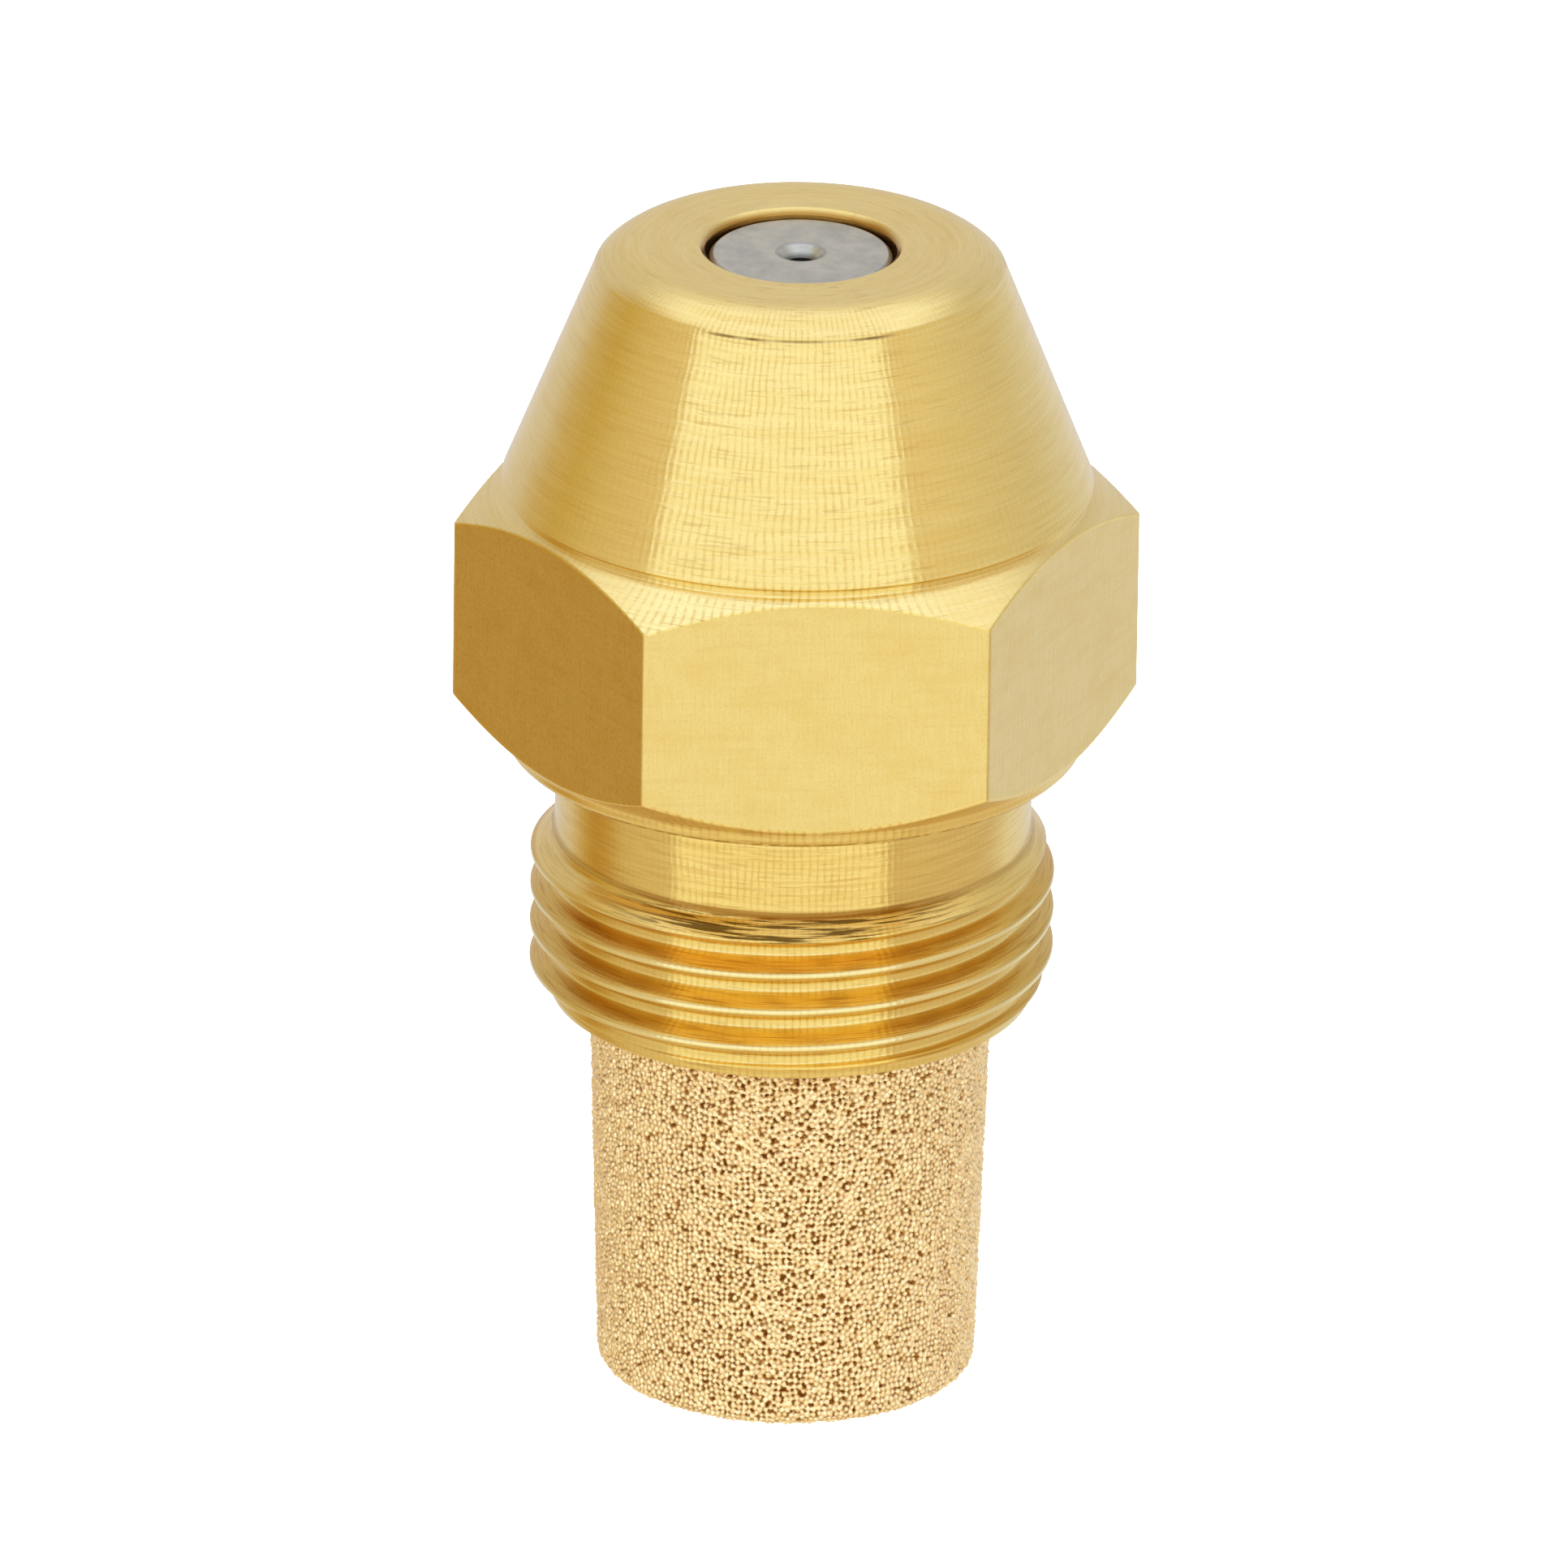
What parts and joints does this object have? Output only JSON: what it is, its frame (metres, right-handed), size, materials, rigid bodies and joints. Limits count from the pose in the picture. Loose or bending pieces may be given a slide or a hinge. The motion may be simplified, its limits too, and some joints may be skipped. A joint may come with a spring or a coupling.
{
  "type": "oil burner nozzle",
  "caption": "Brass pressure-atomising spray nozzle for an oil burner: hexagon body with a conical nose, steel orifice disc, threaded inlet and sintered bronze filter.",
  "frame": {"origin": "centre of the filter's closed end face, on the nozzle's axis, at the bottom of the bounding box", "axes": "+Z along the nozzle's axis from the filter towards the spray orifice; two of the hexagon's flats face +Y and -Y"},
  "size_m": [0.0184, 0.016, 0.0324],
  "materials": {
    "body_brass": "satin, fine turned",
    "disc_steel": "fine ground, matte",
    "distributor_steel": "fine turned",
    "inner_brass": "turned",
    "sintered_bronze": "granular, sintered beads"
  },
  "bodies": {
    "nozzle_body": {"nozzle_body": "body_brass"},
    "orifice_disc": {"orifice_disc": "disc_steel"},
    "swirl_distributor": {"swirl_distributor": "distributor_steel"},
    "lock_screw": {"lock_screw": "inner_brass"},
    "filter": {"filter_bushing": "inner_brass", "filter_element": "sintered_bronze"}
  },
  "joints": [
    {"name": "disc_slide", "type": "slide", "parent": "nozzle_body", "child": "orifice_disc", "axis": [0, 0, -1], "range_m": [0, 0.022]},
    {"name": "distributor_slide", "type": "slide", "parent": "orifice_disc", "child": "swirl_distributor", "axis": [0, 0, -1], "range_m": [0, 0.02]},
    {"name": "lock_screw_travel", "type": "slide", "parent": "swirl_distributor", "child": "lock_screw", "axis": [0, 0, -1], "range_m": [0, 0.014]},
    {"name": "filter_travel", "type": "slide", "parent": "lock_screw", "child": "filter", "axis": [0, 0, -1], "range_m": [0, 0.006]}
  ]
}
